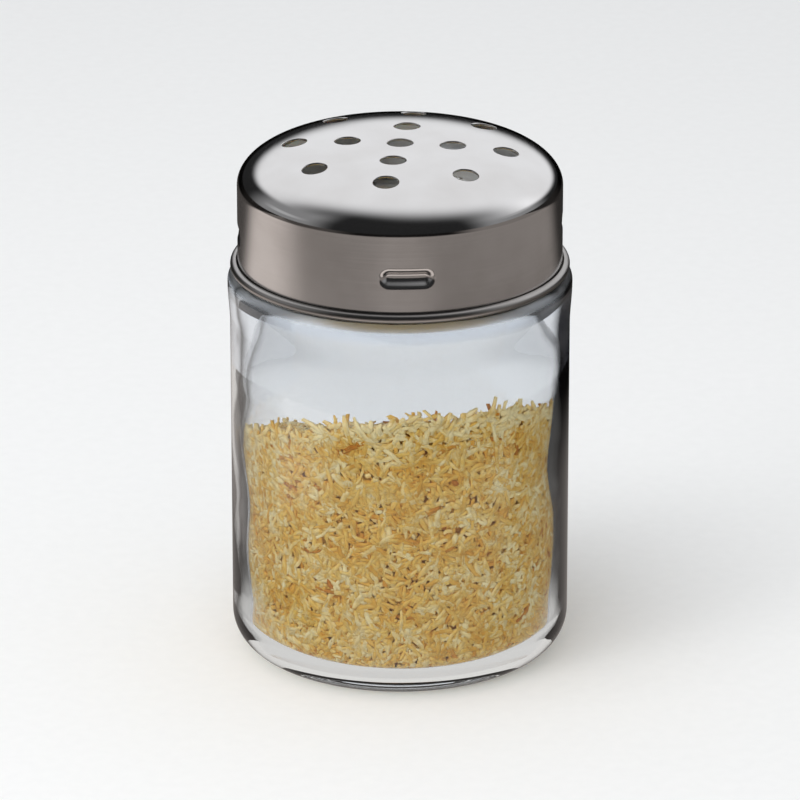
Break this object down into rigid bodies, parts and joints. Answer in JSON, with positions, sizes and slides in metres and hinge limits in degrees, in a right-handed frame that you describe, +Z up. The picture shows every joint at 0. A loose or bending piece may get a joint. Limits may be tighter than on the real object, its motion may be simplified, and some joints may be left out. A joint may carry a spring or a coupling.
{
  "type": "grated cheese shaker",
  "caption": "Round clear glass jar, part filled with grated cheese, under a domed steel screw cap pierced with pour holes.",
  "frame": {"origin": "middle of the jar's bearing ring, on the table", "axes": "+Z up along the jar's axis, -Y towards the front dent of the cap"},
  "size_m": [0.0744, 0.0744, 0.1149],
  "materials": {
    "glass": "gloss",
    "stainless_steel": "polished",
    "washer": "matte",
    "cheese": "matte"
  },
  "bodies": {
    "jar": {"glass_jar": "glass", "grated_cheese": "cheese"},
    "washer": {"sealing_washer": "washer"},
    "cap": {"steel_cap": "stainless_steel"}
  },
  "joints": [
    {"name": "cap_lift", "type": "slide", "parent": "jar", "child": "washer", "axis": [0, 0, 1], "range_m": [0, 0.03]},
    {"name": "cap_turn", "type": "hinge", "parent": "washer", "child": "cap", "pos_m": [0, 0, 0.10555], "axis": [0, 0, 1], "range_deg": [0, 2160]}
  ],
  "couplings": [
    {"joint": "cap_lift", "follows": "cap_turn", "m_per_rad": 0.00079577}
  ]
}
